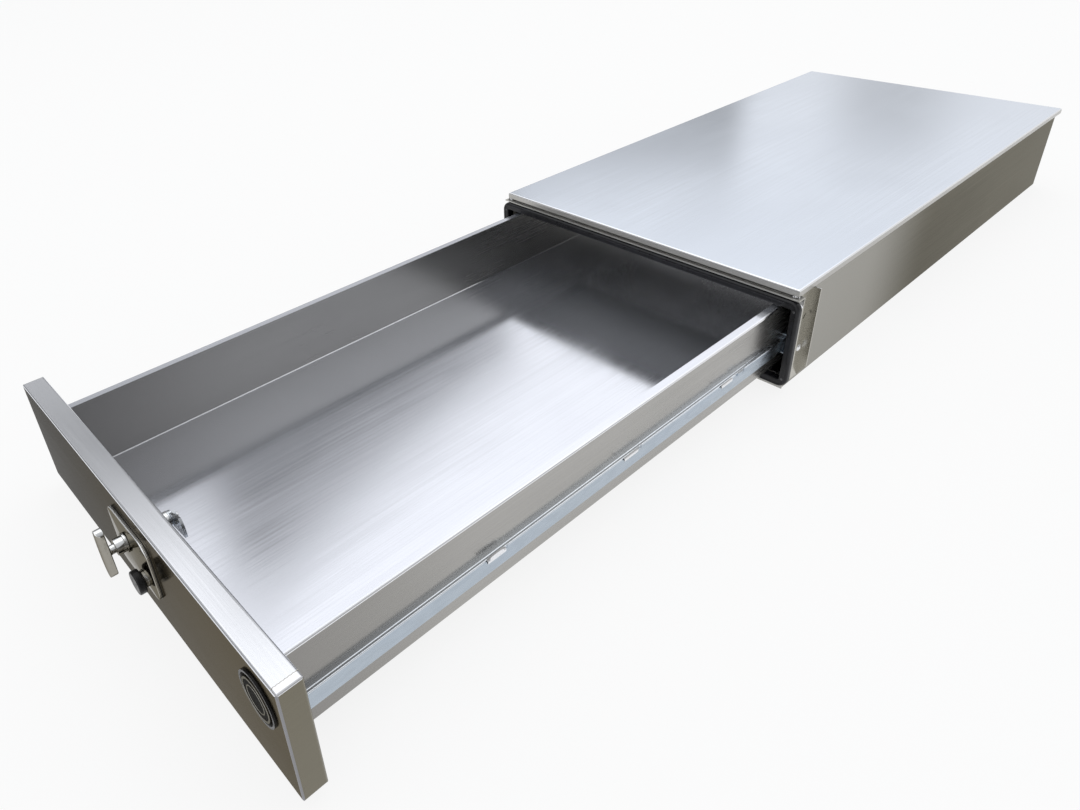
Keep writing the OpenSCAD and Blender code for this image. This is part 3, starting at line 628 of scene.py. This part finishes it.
# Place behind the rail's front end and added height; the ball cage passes close over the last two
CATCHES = ((227.0, 1.8), (448.0, 0.0), (650.0, 0.0))
CATCH_LENGTH = 26.0
CATCH_STEPS = 12
# How far every catch stands off the rail, and what a higher one adds at its side
CATCH_PROUD = 0.2
CATCH_SIDE_SHARE = 0.28


def make_slide_catches():
    """Bent catch tabs on the upper edge of the drawer's slide rails."""
    for side, word in ((1, "right"), (-1, "left")):
        low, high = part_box("drawer_rail_" + word)
        edge = high.x if side > 0 else low.x
        for count, (place, height) in enumerate(CATCHES):
            proud = CATCH_PROUD + CATCH_SIDE_SHARE * height
            rings = []
            for step in range(CATCH_STEPS + 1):
                share = step / CATCH_STEPS
                lift = CATCH_PROUD + height * math.sin(math.pi * share) ** 0.5
                y = low.y + (place + CATCH_LENGTH * share) * MM
                rings.append([(edge - side * x * MM, y, high.z + z * MM) for x, z in
                              ((0.2, -4.0), (0.2 - proud, -3.6), (-proud, -0.4), (0.3, lift),
                               (2.2, lift), (2.4, -0.6))])
            under = [[(x, y, z - 0.3 * MM) for x, y, z in ring] for ring in reversed(rings)]
            # The tabs take the bright weld steel: a painted highlight.
            loft("slide_catch_%s_%d" % (word, count + 1), rings + under, weld_and_catch_highlight_steel,
                 "drawer")


SEAM_FROM_END = 8.4
SEAM_STEPS = 26


def make_panel_seam():
    """Dressed weld line across the panel's top, close to its right end."""
    low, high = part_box("front_panel")
    x = high.x - SEAM_FROM_END * MM
    rings = []
    for step in range(SEAM_STEPS + 1):
        y = low.y + 0.4 * MM + (high.y - low.y - 0.8 * MM) * step / SEAM_STEPS
        wander = 0.25 * MM * math.sin(1.7 * step)
        rings.append([(x + wander + across * MM, y, high.z + above * MM) for across, above in
                      ((-0.45, -0.05), (-0.25, 0.10), (0.25, 0.10), (0.45, -0.05))])
    lower = [[(px, py, high.z - 0.06 * MM) for px, py, _ in ring] for ring in reversed(rings)]
    loft("panel_seam", rings + lower, bracket_steel, "drawer")


# Studio
FLOOR_SIZE = 40.0
FLOOR_BELOW = 0.5
BACKDROP_SHARE = 0.85


def seen_directly(graph):
    """1 for camera, glossy and transmission rays, 0 for the rays that light the object."""
    path = graph.add("ShaderNodeLightPath")
    last = path.outputs["Is Camera Ray"]
    for name in ("Is Glossy Ray", "Is Transmission Ray"):
        last = graph.math("MAXIMUM", last, path.outputs[name])
    return last


def make_floor():
    mesh = bpy.data.meshes.new("floor")
    half = FLOOR_SIZE / 2
    height = cad_low.z - FLOOR_BELOW * MM
    mesh.from_pydata([(-half, -half, height), (half, -half, height), (half, half, height),
                      (-half, half, height)], [], [(0, 1, 2, 3)])
    floor = bpy.data.objects.new("floor", mesh)
    scene.collection.objects.link(floor)
    finish = Finish("pale_floor", (0.86, 0.86, 0.86), 0.9)
    glow = finish.add("ShaderNodeEmission")
    mix = finish.add("ShaderNodeMixShader")
    finish.link(finish.math("MULTIPLY", seen_directly(finish), BACKDROP_SHARE), mix.inputs["Fac"])
    finish.link(finish.shader.outputs["BSDF"], mix.inputs[1])
    finish.link(glow.outputs["Emission"], mix.inputs[2])
    finish.link(mix.outputs["Shader"], finish.tree.nodes["Material Output"].inputs["Surface"])
    mesh.materials.append(finish.material)


# The overhead box's lower edge in degrees: its slope, a place on it, and its lowest rise
EDGE_SLOPE, EDGE_TURN, EDGE_RISE, EDGE_LOWEST = -0.55, 47, 34, 33.0


def sky_brightness(sky):
    """Soft boxes and dim gaps between them, by degrees of azimuth (from +Y to +X) and elevation."""
    split = sky.add("ShaderNodeSeparateXYZ")
    sky.link(sky.add("ShaderNodeTexCoord").outputs["Generated"], split.inputs["Vector"])
    turn = sky.math("MULTIPLY", sky.math("ARCTAN2", split.outputs["X"], split.outputs["Y"]), math.degrees(1))
    rise = sky.math("MULTIPLY", sky.math("ARCSINE", split.outputs["Z"]), math.degrees(1))
    # A large box overhead, with a slanting lower edge to the left of the drawer
    edge = sky.math("ADD", sky.math("MULTIPLY", turn, EDGE_SLOPE), EDGE_RISE + EDGE_SLOPE * EDGE_TURN)
    above = sky.spread(sky.math("SUBTRACT", rise, sky.math("MAXIMUM", edge, EDGE_LOWEST)), -3, 3, 0, 1)
    behind = sky.spread(turn, -47.5, -43.5, 0, 1)
    beside = sky.math("MULTIPLY", sky.spread(turn, -74, -69.5, 1, 0), sky.spread(rise, 31, 46, 0, 1))
    box = sky.math("MAXIMUM", sky.math("MAXIMUM", above, behind), beside)
    dim = sky.spread(rise, 29, 34, 0.60, 0.20)
    bright = sky.spread(rise, 24, 36, 0.92, 1.25)
    level = sky.math("ADD", dim, sky.math("MULTIPLY", box, sky.math("SUBTRACT", bright, dim)))
    level = sky.math("ADD", level, sky.spread(rise, 44, 56, 0, 0.10))
    # Dim gaps low behind the sleeve
    low = sky.spread(rise, 17.5, 22, 1, 0)
    gap = sky.math("MULTIPLY", low, sky.spread(turn, -30.3, -28.3, 0.48, 0))
    level = sky.math("MULTIPLY", level, sky.math("SUBTRACT", 1.0, gap))
    narrow = sky.math("MULTIPLY", sky.spread(turn, -25.5, -21, 0, 1), sky.spread(turn, -20, -15, 1, 0))
    narrow = sky.math("MULTIPLY", sky.math("MULTIPLY", narrow, 0.33), sky.spread(rise, 15.5, 20, 1, 0))
    level = sky.math("MULTIPLY", level, sky.math("SUBTRACT", 1.0, narrow))
    # A dimmer room to the right, mirrored twice by the tray's left wall
    wing = sky.math("MULTIPLY", sky.spread(turn, 38, 50, 0, 1), sky.spread(turn, 120, 100, 0, 1))
    wing = sky.math("MULTIPLY", wing, sky.spread(turn, 58, 80, 0.40, 0.58))
    level = sky.math("MULTIPLY", level, sky.math("SUBTRACT", 1.0, wing))
    level = sky.math("MULTIPLY", level, sky.spread(rise, 10, 20, 0.9, 1.0))
    # The backdrop itself stays white
    camera = sky.add("ShaderNodeLightPath").outputs["Is Camera Ray"]
    return sky.math("MAXIMUM", level, camera)


def make_world():
    """Plain light for the object, and a studio of soft boxes for what the metal mirrors."""
    world = bpy.data.worlds.new("studio")
    scene.world = world
    world.use_nodes = True
    sky = Graph(world.node_tree)
    plain = sky.tree.nodes["Background"]
    plain.inputs["Color"].default_value = (0.96, 0.98, 1.0, 1)
    plain.inputs["Strength"].default_value = 0.75
    seen = sky.add("ShaderNodeBackground")
    sky.link(sky_brightness(sky), seen.inputs["Color"])
    mix = sky.add("ShaderNodeMixShader")
    sky.link(seen_directly(sky), mix.inputs["Fac"])
    sky.link(plain.outputs["Background"], mix.inputs[1])
    sky.link(seen.outputs["Background"], mix.inputs[2])
    sky.link(mix.outputs["Shader"], sky.tree.nodes["World Output"].inputs["Surface"])


def soft_lamp(name, place, aim, size, radiance):
    """Rectangular lamp whose power follows from its size and brightness."""
    data = bpy.data.lights.new(name, "AREA")
    data.shape = "RECTANGLE"
    data.size, data.size_y = size
    data.energy = radiance * math.pi * size[0] * size[1]
    lamp = bpy.data.objects.new(name, data)
    lamp.location = Vector(place)
    lamp.rotation_mode = "QUATERNION"
    lamp.rotation_quaternion = (Vector(aim) - Vector(place)).to_track_quat("-Z", "Y")
    lamp.visible_glossy = False
    scene.collection.objects.link(lamp)


def make_lamps():
    soft_lamp("overhead_softbox", (-0.6, 0.6, 5.0), (-0.2, 0.0, 0.0), (5.0, 5.0), 1.0)


make_camera()
paint_nodes()
make_castings()
make_seal()
make_gasket()
make_badge_relief()
make_welds()
make_panel_seam()
make_header_trim()
make_slide_catches()
make_floor()
make_world()
make_lamps()
scene.view_settings.view_transform = "Standard"
